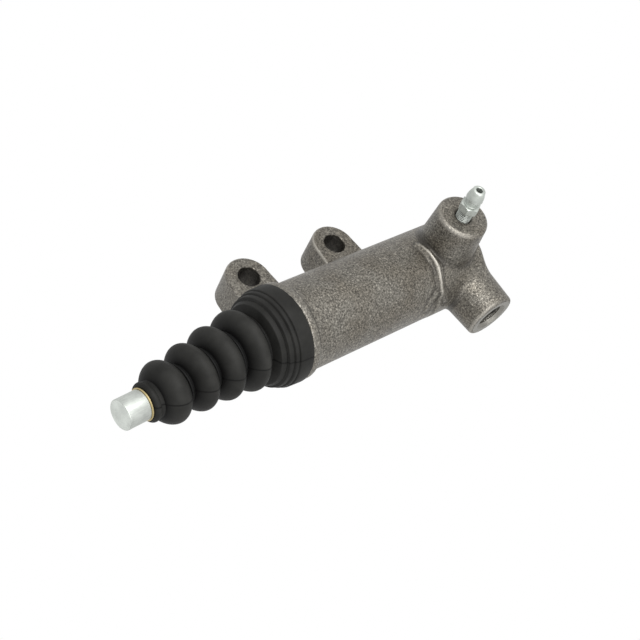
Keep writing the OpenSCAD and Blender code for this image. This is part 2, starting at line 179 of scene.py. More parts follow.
# Cylinder body: one sand-cast iron casting of barrel, flange, two bolt ears, port and bleeder
# boss. Its skin is one closed surface, worked out from the distance to its plain forms, which
# run into each other in the soft fillets of a casting. The holes are cut out of it afterwards.
BARREL_LEN = 94.5
BARREL_R = 17.0
END_ROUND = 3.0
HEAD_X = 68.0
HEAD_SHIFT = 1.1
HEAD_TURN = math.radians(27)
HEAD_SLOPE = 1.6
HEAD_FADE = (26.0, 33.0)
FLANGE_R = 18.5
FLANGE_FROM = 1.0
FLANGE_END = 4.2
FLANGE_STEP = 1.1
FLANGE_SLOPE = 2.6
RIM_ROUND = 0.5
SPIGOT_R = 15.2
BORE_R = 10.32
BORE_END = 93.0
MOUTH_R = 11.15
MOUTH_END = -2.5
RING_GROOVE = (-4.8, -3.5, 12.0)
BEAD_GROOVE = (-4.5, -1.5, 14.0)
EAR_REACH = -BARREL_AT[1]
EAR_HOLES = (10.3, 54.3)
EAR_R = 9.2
EAR_T = 15.0
EAR_ROUND = 0.9
EAR_FLARE = 1.3
EAR_FOOT = 8.0
HOLE_R = 4.35
PORT_X = 89.0
PORT_R = 10.35
PORT_DRAFT = 1.5
PORT_ROUND = 1.2
PORT_CLEAR = ((6.95, 28.2), (5.9, 13.0))
BOSS_X = 81.2
BOSS_TOP = 32.7
BOSS_R = 10.1
BOSS_DRAFT = 2.2
BOSS_ROUND = 1.6
BOSS_LEAN = math.radians(3)
BLEED_HOLE_R = 3.15
BLEED_CHAMFER = 0.9
BLEED_FLOOR = 18.7
SPIGOT_ROOT = 4.0
RIM_JOIN = 0.5
PORT_JOIN = (1.8, 3.8)
BOSS_JOIN = 1.6
EAR_JOIN = 1.8
BEAD_EASE = 0.1
BORE_EASE = 0.05
HOLE_EASE = 0.2
BLEED_EASE = 0.4
PAST = 2.0
BLEED_PAST = 3.0
CREST_RISE = 0.5
CREST_LOW = (0.6, 17.0, 4.0)
CREST_WIDTH = 0.95
CREST_VALLEY = (0.25, 2.3, 0.9)
CELL = 0.6
SKIN_MARGIN = 1.3


def soft_join(a, b, width):
    """Smaller of two distances, eased over a width: the fillet that the sand mould leaves."""
    share = np.clip(0.5 + 0.5 * (b - a) / width, 0, 1)
    return b + (a - b) * share - width * share * (1 - share)


def soft_cut(solid, hole, width):
    """Takes a hole out of a solid with its rim eased over a width."""
    return -soft_join(-solid, hole, width)


def bar_distance(along, out, start, end, edge):
    """Distance to a bar between start and end whose wall lies at out = 0, with rounded rims."""
    past_end = np.abs(along - (start + end) / 2) - (end - start) / 2 + edge
    past_wall = out + edge
    corner = np.hypot(np.maximum(past_end, 0), np.maximum(past_wall, 0))
    return corner + np.minimum(np.maximum(past_end, past_wall), 0) - edge


def ear_distance(x, y, z, hole_x):
    """A slab with a round end over the bolt hole; it flares on both sides down to the barrel."""
    rise = np.clip((EAR_REACH - y) / (EAR_REACH / 2), 0, 1)
    side = (x - hole_x) * EAR_R / (EAR_R + EAR_FLARE * rise)
    outline = np.hypot(side, y - np.clip(y, EAR_FOOT, EAR_REACH)) - EAR_R
    return bar_distance(z, outline, -AXIS_HEIGHT, EAR_T - AXIS_HEIGHT, EAR_ROUND)


def boss_place(x, y, z):
    """Height along the leaning axis of the bleeder boss, and distance from that axis."""
    height = -(x - BOSS_X) * math.sin(BOSS_LEAN) + z * math.cos(BOSS_LEAN)
    across = (x - BOSS_X) * math.cos(BOSS_LEAN) + z * math.sin(BOSS_LEAN)
    return height, np.hypot(across, y)


def segment_distance(u, v, start, end):
    """Distance in the unrolled barrel surface from (u, v) to a straight stretch."""
    run = np.subtract(end, start)
    t = np.clip(((u - start[0]) * run[0] + (v - start[1]) * run[1]) / (run @ run), 0, 1)
    return np.hypot(u - start[0] - t * run[0], v - start[1] - t * run[1])


def crest_height(x, y, z):
    """Height of the parting crest at the front of the head: a soft ridge along a line that forks,
    with a shallow valley beside it. The ridge is lower near the fork."""
    around = np.arctan2(z, -y) * BARREL_R
    stem = [(67.0, 30.0), (67.6, 22.7), (68.6, 19.0), (67.5, 15.3), (67.3, 10.5)]
    arms = [[(67.3, 10.5), (62.9, 6.1), (61.5, 3.5)], [(67.3, 10.5), (72.0, 4.9)]]
    lines = [pair for line in [stem, *arms] for pair in zip(line, line[1:])]
    near = np.min([segment_distance(x, around, *pair) for pair in lines], axis=0)
    depth, beside, spread = CREST_VALLEY
    valley = depth * np.exp(-(((near - beside) / spread) ** 2))
    low_share, low_to, grown_over = CREST_LOW
    rise = CREST_RISE * (low_share + (1 - low_share) * np.clip((around - low_to) / grown_over, 0, 1))
    return rise * np.exp(-((near / CREST_WIDTH) ** 2)) - valley


def casting_distance(p):
    """Distance in millimetres from points in the barrel's frame to the skin of the casting."""
    x, y, z = p.T
    out = np.hypot(y, z)
    towards = (z * math.cos(HEAD_TURN) - y * math.sin(HEAD_TURN)) / np.maximum(out, 1)
    onto = np.clip((x - HEAD_X) / HEAD_SLOPE + 1, 0, 1)
    around = np.arctan2(z, -y) * BARREL_R
    kept = np.clip((HEAD_FADE[1] - around) / (HEAD_FADE[1] - HEAD_FADE[0]), 0, 1)
    head = HEAD_SHIFT * np.clip(towards, 0, 1) * onto ** 2 * (3 - 2 * onto) * kept
    behind_rim = np.clip(1 - (x - FLANGE_END) / FLANGE_SLOPE, 0, 1) * (FLANGE_R - FLANGE_STEP - BARREL_R)
    solid = bar_distance(x, out - BARREL_R - head - behind_rim, FLANGE_FROM, BARREL_LEN, END_ROUND)
    solid = solid - crest_height(x, y, z)
    solid = soft_join(solid, bar_distance(x, out - FLANGE_R, FLANGE_FROM, FLANGE_END, RIM_ROUND), RIM_JOIN)
    port_out = np.hypot(x - PORT_X, z)
    port_wall = port_out - PORT_R - PORT_DRAFT * (1 + y / PORT_REACH)
    dome = np.hypot(port_out, y) - PORT_R - PORT_DRAFT
    port = np.minimum(bar_distance(-y, port_wall, 0, PORT_REACH, PORT_ROUND), dome)
    height, boss_out = boss_place(x, y, z)
    boss_wall = boss_out - BOSS_R - BOSS_DRAFT * (1 - height / BOSS_TOP)
    boss = bar_distance(height, boss_wall, 0, BOSS_TOP, BOSS_ROUND)
    upper = np.clip(z / PORT_R, 0, 1)
    solid = soft_join(solid, port, PORT_JOIN[0] + (PORT_JOIN[1] - PORT_JOIN[0]) * upper)
    solid = soft_join(solid, boss, BOSS_JOIN)
    for hole_x in EAR_HOLES:
        ear = np.maximum(ear_distance(x, y, z, hole_x), FLANGE_FROM - x)
        solid = soft_join(solid, ear, EAR_JOIN)
    solid = np.minimum(solid, bar_distance(x, out - SPIGOT_R, -SPIGOT_LEN, SPIGOT_ROOT, RIM_ROUND))
    bead_from, bead_to, bead_r = BEAD_GROOVE
    solid = np.maximum(solid, -bar_distance(x, bead_r - out, bead_from, bead_to, BEAD_EASE))
    before = -SPIGOT_LEN - PAST
    for start, end, radius in [(before, BORE_END, BORE_R), (before, MOUTH_END, MOUTH_R), RING_GROOVE]:
        solid = np.maximum(solid, -bar_distance(x, out - radius, start, end, BORE_EASE))
    for hole_x in EAR_HOLES:
        solid = soft_cut(solid, np.hypot(x - hole_x, y - EAR_REACH) - HOLE_R, HOLE_EASE)
    for radius, start in PORT_CLEAR:
        clear = bar_distance(-y, port_out - radius, start, PORT_REACH + PAST, BORE_EASE)
        solid = np.maximum(solid, -clear)
    mouth = boss_out - BLEED_HOLE_R - np.clip(height - BOSS_TOP + BLEED_CHAMFER, 0, BLEED_PAST)
    bleed_hole = bar_distance(height, mouth, BLEED_FLOOR, BOSS_TOP + BLEED_PAST, BORE_EASE)
    return soft_cut(solid, bleed_hole, BLEED_EASE)


def slope_of(distance, points, step):
    """Slope of a distance function at points, by differences across a small step."""
    shifts = np.eye(3) * step
    return np.stack([distance(points + s) - distance(points - s) for s in shifts], -1) / (2 * step)


def closed_skin(distance, low, high, cell):
    """One point in each cell that the surface passes through, at the mean of the places where it
    crosses the cell's edges, and one face round each crossed edge of the grid. The points are
    then moved along the slope of the distance until they lie on the surface."""
    axes = [np.arange(a, b + cell, cell) for a, b in zip(low, high)]
    corners = np.stack(np.meshgrid(*axes, indexing="ij"), -1)
    value = distance(corners.reshape(-1, 3)).reshape(corners.shape[:3])
    cells = tuple(n - 1 for n in value.shape)
    total = np.zeros(cells + (3,))
    count = np.zeros(cells)
    crossings = []
    for axis in range(3):
        v = np.moveaxis(value, axis, 0)
        c = np.moveaxis(corners, axis, 0)
        crossed = (v[:-1] < 0) != (v[1:] < 0)
        share = np.where(crossed, v[:-1] / np.where(crossed, v[:-1] - v[1:], 1), 0)[..., None]
        place = np.where(crossed[..., None], c[:-1] * (1 - share) + c[1:] * share, 0)
        total_view = np.moveaxis(total, axis, 0)
        count_view = np.moveaxis(count, axis, 0)
        for i, j in itertools.product((0, 1), repeat=2):
            rows = slice(i, crossed.shape[1] - 1 + i)
            columns = slice(j, crossed.shape[2] - 1 + j)
            total_view += place[:, rows, columns]
            count_view += crossed[:, rows, columns]
        crossings.append((crossed, v[:-1] < 0))
    used = count > 0
    number = np.full(cells, -1)
    number[used] = np.arange(used.sum())
    points = total[used] / count[used][:, None]
    faces = []
    for axis, (crossed, inside_first) in enumerate(crossings):
        ids = np.moveaxis(number, axis, 0)
        inner = crossed[:, 1:-1, 1:-1]
        ring = [ids[:, :-1, :-1], ids[:, 1:, :-1], ids[:, 1:, 1:], ids[:, :-1, 1:]]
        quad = np.stack([r[inner] for r in ring], -1)
        flip = ~inside_first[:, 1:-1, 1:-1][inner]
        if axis == 1:
            flip = ~flip
        quad[flip] = quad[flip][:, ::-1]
        faces.append(quad)
    for _ in range(5):
        slope = slope_of(distance, points, cell / 4)
        steep = np.maximum((slope ** 2).sum(-1, keepdims=True), 0.2)
        move = distance(points)[:, None] * slope / steep
        points = points - np.clip(move, -cell / 2, cell / 2)
    return points, np.concatenate(faces).tolist()


def add_piece(name, points, faces, material, sharp_angle=50):
    """Makes a linked object at the origin from barrel-frame points, with edges kept past an angle."""
    mesh = bpy.data.meshes.new(name)
    mesh.from_pydata(in_row_frame(points), [], faces)
    mesh.validate()
    mesh.shade_smooth()
    mesh.set_sharp_from_angle(angle=math.radians(sharp_angle))
    mesh.materials.append(material)
    piece = bpy.data.objects.new(name, mesh)
    scene.collection.objects.link(piece)
    return piece


def new_material(name):
    """A material with an empty node tree, and the function that adds its nodes."""
    made = bpy.data.materials.new(name)
    made.use_nodes = True
    return made, node_adder(made.node_tree)


def ramp(add, value, stops):
    """Colour ramp over a value; stops are (place, colour)."""
    made = add("ValToRGB", {"Fac": value})
    elements = made.color_ramp.elements
    while len(elements) < len(stops):
        elements.new(0.5)
    for element, (place, colour) in zip(elements, stops):
        element.position = place
        element.color = (*colour, 1)
    return made.outputs["Color"]


def grain(add, where, scale, detail=2.0, rough=0.5):
    """Noise of about 1/scale metres."""
    noise = add("TexNoise", {"Vector": where, "Scale": scale, "Detail": detail, "Roughness": rough})
    return noise.outputs["Fac"]


def grow(add, value, start, end, most):
    """Nothing where a value is at start, growing evenly to most at end."""
    grown = add("MapRange", {"Value": value, "From Min": start, "From Max": end, "To Max": most})
    return grown.outputs[0]


def blend_colours(add, share, a, b, blend_type="MIX"):
    """Mixes two colours by a share."""
    made = add("Mix", data_type="RGBA", blend_type=blend_type)
    tree = made.id_data
    for key, value in ((0, share), (6, a), (7, b)):
        if isinstance(value, bpy.types.NodeSocket):
            tree.links.new(value, made.inputs[key])
        else:
            made.inputs[key].default_value = value
    return made.outputs[2]


def sand_cast_iron():
    """Grey-brown grains a bit under a millimetre, with light and dark ones among them, with painted shade
    in the fillets, hollows, creases and bolt holes, and a painted highlight, partly wear, on the outer
    edges; two attributes tell which."""
    made, add = new_material("sand_cast_iron")
    where = add("TexCoord").outputs["Object"]
    fine = grain(add, where, 1500, 3.0, 0.65)
    broad = grain(add, where, 90, 2.0)
    colour = ramp(add, fine, [(0.32, (0.035, 0.032, 0.027)), (0.48, (0.13, 0.121, 0.104)),
                              (0.6, (0.22, 0.206, 0.177)), (0.74, (0.46, 0.432, 0.375))])
    tint = ramp(add, broad, [(0.35, (0.84, 0.81, 0.77)), (0.65, (1.0, 1.0, 1.0))])
    colour = blend_colours(add, 1.0, colour, tint, "MULTIPLY")
    edge = add("Attribute", attribute_name="edge").outputs["Fac"]
    hollow = add("Attribute", attribute_name="hollow").outputs["Fac"]
    # This dark colour is painted shade; the hollow attribute puts it in the fillets and hollows, round the
    # foot of the boss and in the line behind the flange.
    dark = (0.03, 0.027, 0.023, 1)
    colour = blend_colours(add, grow(add, hollow, -0.12, -0.45, 0.6), colour, dark)
    # Painted shade in the creases and inside the bolt holes, where the edge attribute is below zero.
    colour = blend_colours(add, grow(add, edge, -0.08, -0.5, 0.6), colour, dark)
    # Painted highlight, partly wear, on the outer edges and the flange's rim.
    colour = blend_colours(add, grow(add, edge, 0.25, 1.2, 0.7), colour, (0.4, 0.378, 0.335, 1))
    bump = add("Bump", {"Height": fine, "Strength": 0.55, "Distance": 0.0003})
    rough = add("MapRange", {"Value": fine, "To Min": 0.5, "To Max": 0.36})
    shader = add("BsdfPrincipled", {"Base Color": colour, "Metallic": 0.65, "Roughness": rough.outputs[0],
                                    "Normal": bump.outputs[0]})
    add("OutputMaterial", {"Surface": shader.outputs[0]})
    return made


cast_iron = sand_cast_iron()
skin_low = (-SPIGOT_LEN - SKIN_MARGIN, -PORT_REACH - SKIN_MARGIN, -AXIS_HEIGHT - SKIN_MARGIN)
skin_high = (PORT_X + PORT_R + PORT_DRAFT + SKIN_MARGIN, EAR_REACH + EAR_R + SKIN_MARGIN,
             BOSS_TOP + SKIN_MARGIN)
skin_points, skin_faces = closed_skin(casting_distance, skin_low, skin_high, CELL)
casting = add_piece("casting", skin_points, skin_faces, cast_iron, 60)
BEND_STEP = 0.7
HOLLOW_STEP = 2.5


def bend_of(distance, points, step):
    """Bend of a distance function over a step: above zero on edges, below zero in fillets."""
    shifted = [distance(points + s) for s in np.vstack([np.eye(3), -np.eye(3)]) * step]
    return (np.sum(shifted, axis=0) - 6 * distance(points)) / step ** 2


# The bend of the skin: above zero it carries a painted highlight, partly wear, and below zero painted
# shade.
edge_wear_and_painted_light = bend_of(casting_distance, skin_points, BEND_STEP)
# The bend over a wider step carries painted shade in the fillets and hollows.
painted_hollow_shade = bend_of(casting_distance, skin_points, HOLLOW_STEP)

# The outer edges get a painted highlight, partly wear, strongest on those that face -X towards the boot
# and the lamps; the drilled bolt holes get painted shade and keep sharp rims, and the flange's rim gets a
# painted highlight a little brighter than the skin behind it.
HOLE_SHADE = -0.5
HOLE_RIM = 1.5
HOLE_WALL = 0.3
RIM_HIGHLIGHT = 0.36
skin_x, skin_y, skin_z = skin_points.T
skin_out = np.hypot(skin_y, skin_z)
facing = slope_of(casting_distance, skin_points, BEND_STEP / 2)[:, 0]
edge_wear_and_painted_light = np.where(edge_wear_and_painted_light > 0, edge_wear_and_painted_light * np.clip(0.45 - facing, 0.15, 1), edge_wear_and_painted_light)
for hole_x in EAR_HOLES:
    from_wall = np.hypot(skin_x - hole_x, skin_y - EAR_REACH) - HOLE_R
    edge_wear_and_painted_light = np.where(from_wall < HOLE_RIM, np.minimum(edge_wear_and_painted_light, 0), edge_wear_and_painted_light)
    edge_wear_and_painted_light = np.where(from_wall < HOLE_WALL, HOLE_SHADE, edge_wear_and_painted_light)
on_rim = (skin_x > FLANGE_FROM) & (skin_x < FLANGE_END - 0.1) & (skin_out > FLANGE_R - 0.2)
edge_wear_and_painted_light = np.where(on_rim, RIM_HIGHLIGHT, edge_wear_and_painted_light)
painted_hollow_shade = np.where(on_rim, 0, painted_hollow_shade)

# Painted shade round the foot of the bleeder boss on its upper side, and a painted shadow line behind the
# flange.
SHADE = 0.42
FOOT_R = 18.0
FOOT_HEIGHT = 5.0
FOOT_FADE = 0.8
LINE_W = 0.7
skin_height, skin_boss_out = boss_place(skin_x, skin_y, skin_z)
off_boss = skin_boss_out - BOSS_R - BOSS_DRAFT * (1 - skin_height / BOSS_TOP)
low_on_boss = np.clip(1 - (skin_out - FOOT_R) / FOOT_HEIGHT, 0, 1)
foot = low_on_boss * np.clip(1.5 - off_boss / FOOT_FADE, 0, 1) * (skin_z > 0)
painted_hollow_shade = np.minimum(painted_hollow_shade, -SHADE * foot)
shadow_line_behind_flange = (skin_x > FLANGE_END - 0.1) & (skin_x < FLANGE_END + LINE_W) & (skin_out < FLANGE_R - 0.4)
painted_hollow_shade = np.where(shadow_line_behind_flange, -SHADE, painted_hollow_shade)


def mark(piece, layer_name, values):
    """Stores one value for each point of a piece, for its material to read."""
    layer = piece.data.attributes.new(layer_name, "FLOAT", "POINT")
    layer.data.foreach_set("value", values.astype(np.float32))


mark(casting, "edge", edge_wear_and_painted_light)
mark(casting, "hollow", painted_hollow_shade)
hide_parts("cylinder_body")
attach(casting, "cylinder")

# Port mouth: the machined part of the casting, a faced ring, a chamfer, the thread for the
# pipe union and the cone it seals on. It is turned on the port's axis and sits in the port.
MOUTH_FACE_R = 9.1
MOUTH_PROUD = 0.03
PORT_BORE_R = 5.5
PORT_CHAMFER = 1.3
PORT_DEPTH = 13.0
PORT_PITCH = 1.0
PORT_THREAD = 0.55
SEAT_DROP = 3.0
PASSAGE_R = 1.5
MOUTH_CHAMFER = 1.2
MOUTH_WALL = 1.1
MOUTH_ROWS = 90
MOUTH_SIDES = 96


def turned(profile, sides, tube=True, twist=None):
    """Carries a profile of (along, out) points round an axis as a grid of rings. Out may change
    with the angle through twist. A tube's last ring joins its first; otherwise poles close it."""
    around = np.linspace(0, 2 * np.pi, sides, endpoint=False)
    along, out = np.asarray(profile, float).T
    out = np.repeat(out[:, None], sides, 1)
    if twist is not None:
        out = twist(along[:, None], out, around[None])
    along = np.repeat(along[:, None], sides, 1)
    points = np.stack([along, out * np.cos(around), out * np.sin(around)], -1)
    rows = len(points)
    ids = np.arange(rows * sides).reshape(rows, sides)
    if tube:
        ids = np.vstack([ids, ids[:1]])
    step = np.roll(ids, -1, 1)
    faces = np.stack([ids[:-1], step[:-1], step[1:], ids[1:]], -1).reshape(-1, 4).tolist()
    points = points.reshape(-1, 3)
    if not tube:
        faces.append(ids[0][::-1].tolist())
        faces.append(ids[-1].tolist())
    return outward(points, faces)


def outward(points, faces):
    """Turns every face round if the closed surface holds a negative volume."""
    fans = [(f[0], f[i], f[i + 1]) for f in faces for i in range(1, len(f) - 1)]
    a, b, c = points[np.array(fans).T]
    volume = np.einsum("ij,ij->i", a, np.cross(b, c)).sum()
    return points, faces if volume > 0 else [f[::-1] for f in faces]


def along_minus_y(points):
    """Puts a piece turned on the X axis onto the port's axis, pointing towards -Y."""
    x, y, z = points.T
    return np.stack([PORT_X + y, -x, z], -1)


def machined_metal(name, colour, rings, roughness=0.3, stretch=(1, 1, 1)):
    """Turned metal: fine tool marks as bump and faint colour, on a grey with slight clouding.
    The marks grow long in a direction whose stretch is small. A point attribute darkens it with painted
    shade."""
    made, add = new_material(name)
    where = add("TexCoord").outputs["Object"]
    cloud = grain(add, where, 260, 3.0)
    drawn = add("VectorMath", {0: where, 1: stretch}, operation="MULTIPLY").outputs[0]
    fleck = grain(add, drawn, 3500, 2.0)
    low = tuple(0.78 * c for c in colour)
    base = ramp(add, cloud, [(0.3, low), (0.7, colour)])
    turned_rings = ramp(add, fleck, [(0.35, (0.8, 0.8, 0.8)), (0.65, (1, 1, 1))])
    base = blend_colours(add, 0.6, base, turned_rings, "MULTIPLY")
    painted_shade = add("Attribute", attribute_name="painted_shade").outputs["Fac"]
    # Painted shade: the attribute darkens the base towards near black.
    base = blend_colours(add, painted_shade, base, (0.05, 0.048, 0.043, 1))
    bump = add("Bump", {"Height": fleck, "Strength": rings, "Distance": 0.00012})
    rough = add("MapRange", {"Value": cloud, "To Min": roughness, "To Max": roughness + 0.16})
    shader = add("BsdfPrincipled", {"Base Color": base, "Metallic": 0.85, "Roughness": rough.outputs[0],
                                    "Normal": bump.outputs[0]})
    add("OutputMaterial", {"Surface": shader.outputs[0]})
    return made


def port_thread(along, out, around):
    """The thread's groove: a wave along the hole that shifts by one pitch in each turn."""
    wave = np.abs(((along / PORT_PITCH - around / (2 * np.pi)) % 1) * 2 - 1)
    threaded = (out < PORT_BORE_R + 0.01) & (out > PORT_BORE_R - 0.01)
    return out + np.where(threaded, PORT_THREAD * wave, 0)


face_at = PORT_REACH + MOUTH_PROUD
bore_top = PORT_REACH - PORT_CHAMFER
bore_floor = PORT_REACH - PORT_DEPTH
seat_floor = bore_floor - SEAT_DROP
thread_rows = np.linspace(bore_top, bore_floor, MOUTH_ROWS)
mouth_profile = np.vstack([
    [(face_at - MOUTH_CHAMFER, MOUTH_FACE_R - MOUTH_CHAMFER), (face_at, MOUTH_FACE_R),
     (face_at, PORT_BORE_R + PORT_CHAMFER + MOUTH_PROUD)],
    np.stack([thread_rows, np.full(MOUTH_ROWS, PORT_BORE_R)], -1),
    [(seat_floor, PASSAGE_R), (seat_floor - 1, PASSAGE_R), (seat_floor - 1, PORT_BORE_R + MOUTH_WALL),
     (bore_floor, PORT_BORE_R + MOUTH_WALL)],
])
mouth_points, mouth_faces = turned(mouth_profile, MOUTH_SIDES, True, port_thread)
mouth_metal = machined_metal("machined_iron", (0.29, 0.28, 0.252), 0.3, 0.38)
port_mouth = add_piece("port_mouth", along_minus_y(mouth_points), mouth_faces, mouth_metal, 40)
groove_depth = (np.hypot(mouth_points[:, 1], mouth_points[:, 2]) - PORT_BORE_R) / PORT_THREAD
in_hole = mouth_points[:, 0] < bore_top - 0.2
# Painted shade inside the port's hole, deepest in the thread's grooves.
mark(port_mouth, "painted_shade", np.where(in_hole, np.clip(0.4 + 0.5 * groove_depth, 0, 0.9), 0))
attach(port_mouth, "cylinder")

# Seals, piston and spring: hidden in the bore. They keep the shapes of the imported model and
# get the finish of a turned steel piston, moulded rubber cups, and plated spring wire.
INNER_METAL = {
    "piston": (0.62, 0.62, 0.6),
    "cup_spreader": (0.55, 0.54, 0.5),
    "return_spring": (0.4, 0.41, 0.43),
    "stop_washer": (0.6, 0.6, 0.58),
    "snap_ring": (0.2, 0.2, 0.21),
}


def moulded_rubber(name, colour, parting=None):
    """Matte black rubber with a fine mould grain and dusty patches that are a little paler. The
    mould's halves leave a thin dark line where the parting plane, given by its normal and a
    point on it, cuts the skin."""
    made, add = new_material(name)
    where = add("TexCoord").outputs["Object"]
    patches = grain(add, where, 130, 3.0)
    skin = grain(add, where, 900, 3.0)
    pale = tuple(c * 1.9 for c in colour)
    base = ramp(add, patches, [(0.35, colour), (0.75, pale)])
    # Painted shade: the valley attribute darkens the rubber towards black.
    valley = add("Attribute", attribute_name="valley").outputs["Fac"]
    base = blend_colours(add, valley, base, (0.003, 0.003, 0.003, 1))
    if parting:
        normal, point = parting
        away = add("VectorMath", {0: where, 1: tuple(point)}, operation="SUBTRACT").outputs[0]
        side = add("VectorMath", {0: away, 1: tuple(normal)}, operation="DOT_PRODUCT").outputs["Value"]
        off = add("Math", {0: side}, operation="ABSOLUTE").outputs[0]
        base = blend_colours(add, grow(add, off, 0.0004, 0.0001, 0.8), base, (0.002, 0.002, 0.002, 1))
    bump = add("Bump", {"Height": skin, "Strength": 0.25, "Distance": 0.0001})
    rough = add("MapRange", {"Value": patches, "To Min": 0.46, "To Max": 0.64})
    shader = add("BsdfPrincipled", {"Base Color": base, "Roughness": rough.outputs[0],
                                    "Normal": bump.outputs[0], "Specular IOR Level": 0.1})
    add("OutputMaterial", {"Surface": shader.outputs[0]})
    return made


def refinish(node, material):
    """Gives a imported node's object one new material."""
    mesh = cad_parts[node].data
    mesh.materials.clear()
    mesh.materials.append(material)


for inner_node, metal_colour in INNER_METAL.items():
    refinish(inner_node, machined_metal(inner_node + "_metal", metal_colour, 0.25))
cup_rubber = moulded_rubber("cup_rubber", (0.02, 0.02, 0.021))
for cup_node in ("primary_cup", "secondary_cup"):
    refinish(cup_node, cup_rubber)

# Push rod: turned from steel bar and plated. The ball end sits in the piston, the thick tip
# pushes the release fork; behind the tip a thin brass-coloured rim holds the boot.
BALL_X = 15.0
ROD_LEAN = math.radians(2.7)
BALL_R = 4.5
ROD_R = 3.8
ROD_NECK_R = 3.2
ROD_LEN = 85.3
TIP_R = 5.5
TIP_LEN = 8.6
TIP_CHAMFER = 0.5
RIM_R = 5.9
RIM_W = 0.6


def on_rod(points):
    """Turns a piece made on the X axis about the ball end into the rod's lean."""
    x, y, z = points.T
    c, s = math.cos(ROD_LEAN), math.sin(ROD_LEAN)
    return np.stack([BALL_X + x * c - y * s, x * s + y * c, z], -1)


def arc(centre_x, centre_r, radius, start, end, count):
    """Points of a round stretch of a profile, from one angle to another in degrees."""
    a = np.radians(np.linspace(start, end, count))
    return np.stack([centre_x + radius * np.cos(a), centre_r + radius * np.sin(a)], -1)


tip_face = -ROD_LEN
tip_back = tip_face + TIP_LEN
ball_edge = math.degrees(math.acos(-math.sqrt(1 - (ROD_NECK_R / BALL_R) ** 2)))
rod_profile = np.vstack([
    [(tip_face + 0.04, 0.4), (tip_face, 2.0)],
    arc(tip_face + TIP_CHAMFER, TIP_R - TIP_CHAMFER, TIP_CHAMFER, 180, 90, 7),
    [(tip_back - 0.15, TIP_R), (tip_back, TIP_R - 0.15)],
    [(tip_back + 0.02, ROD_R), (-2 * BALL_R - 1, ROD_R), (-2 * BALL_R, ROD_NECK_R)],
    arc(0, 0, BALL_R, ball_edge, 3, 24),
])
TIP_SIDE_SHADE = 0.28
plated = machined_metal("zinc_plate", (0.74, 0.775, 0.73), 0.12, 0.42, (0.08, 1, 1))
rod_points, rod_faces = turned(rod_profile, 96, False)
push_rod = add_piece("push_rod_turned", on_rod(rod_points), rod_faces, plated, 35)
# Painted shade on the round side of the rod's tip, which stays darker than its face.
mark(push_rod, "painted_shade", np.where(np.hypot(rod_points[:, 1], rod_points[:, 2]) > TIP_R - 0.2, TIP_SIDE_SHADE, 0))
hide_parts("push_rod")
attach(push_rod, "rod")
rim_from = tip_back + 0.03
rim_back = tip_back + RIM_W
rim_profile = [(rim_from, ROD_R + 0.02), (rim_from, RIM_R - 0.12), (rim_from + 0.12, RIM_R),
               (rim_back - 0.12, RIM_R), (rim_back, RIM_R - 0.12), (rim_back, ROD_R + 0.02)]
rim_points, rim_faces = turned(rim_profile, 96)
brassy = machined_metal("yellow_zinc", (0.6, 0.49, 0.25), 0.12, 0.36)
rod_rim = add_piece("rod_rim", on_rod(rim_points), rim_faces, brassy, 35)
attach(rod_rim, "rod")

# Boot: one moulded rubber bellows of four folds that grow towards the flange, with a stepped collar over
# the spigot and a bead around the rod. It is made in two lengths, parted in the valley behind the first
# fold.
LIP_X = BALL_X - (ROD_LEN - TIP_LEN - RIM_W) * math.cos(ROD_LEAN) + 0.3
LIP_W = 2.6
LIP_R = 7.2
COLLAR_LEN = 11.2
VALLEY_W = 2.2
FOLD_R = (11.4, 12.4, 13.7, 15.1)
FOLD_DEPTH = 4.2
FOLD_FROM = LIP_X + LIP_W + 1.0
FOLD_TO = -COLLAR_LEN - VALLEY_W / 2
FOLD_PITCH = (FOLD_TO - FOLD_FROM) / len(FOLD_R)
FOLD_MIDDLES = [FOLD_FROM + (i + 0.5) * FOLD_PITCH for i in range(len(FOLD_R))]
BOOT_WALL = 1.6
BOOT_FIT = 0.3
COLLAR_BANDS = [(0.0, 1.95, 15.2, 15.9), (2.13, 4.2, 17.0, 17.25), (4.37, 5.9, 17.9, 18.1),
                (6.05, 12.1, 18.5, 18.75)]
COLLAR_GROOVE = 0.3
COLLAR_BACK_R = 17.5
BAND_ROUND = 0.5
VALLEY_RING_R = 0.62
PARTING_TURN = math.radians(26)
BOOT_SIDES = 144


def valley_r(i):
    """Radius at the foot of valley i; valley 0 lies between the bead and the first fold."""
    return LIP_R - 0.5 if i == 0 else FOLD_R[i - 1] - FOLD_DEPTH


def fold_outline(i):
    """One fold: a bump of superellipse shape raised between the feet of its two valleys, with its
    crest set back a little towards the flange."""
    start = FOLD_FROM + i * FOLD_PITCH + (0 if i == 0 else VALLEY_W / 2)
    end = FOLD_FROM + (i + 1) * FOLD_PITCH - VALLEY_W / 2
    t = (1 - np.cos(np.linspace(0, np.pi, 40))) / 2
    foot = valley_r(i) + (valley_r(i + 1) - valley_r(i)) * t
    bump = (1 - np.abs(2 * t - 1) ** 1.9) ** 0.65
    return np.stack([start + (end - start) * t ** 0.85, foot + (FOLD_R[i] - foot) * bump], -1)


def valley_ring(i):
    """The thin ring that stands in the valley behind fold i."""
    x = FOLD_FROM + (i + 1) * FOLD_PITCH
    return arc(x, valley_r(i + 1), VALLEY_RING_R, 180, 0, 9)


def collar_outline():
    """Bands that step up to the flange, each with rounded rims and a groove behind it."""
    rows = []
    for start, end, front_r, back_r in COLLAR_BANDS:
        a, b = start - COLLAR_LEN, end - COLLAR_LEN
        rows.append(arc(a + BAND_ROUND, front_r - BAND_ROUND, BAND_ROUND, 165, 100, 6))
        rows.append(arc(b - BAND_ROUND, back_r - BAND_ROUND, BAND_ROUND, 80, 15, 6))
        rows.append([(b + 0.08, back_r - COLLAR_GROOVE)])
    return np.vstack(rows[:-1] + [[(FLANGE_FROM - 0.1, COLLAR_BACK_R)]])


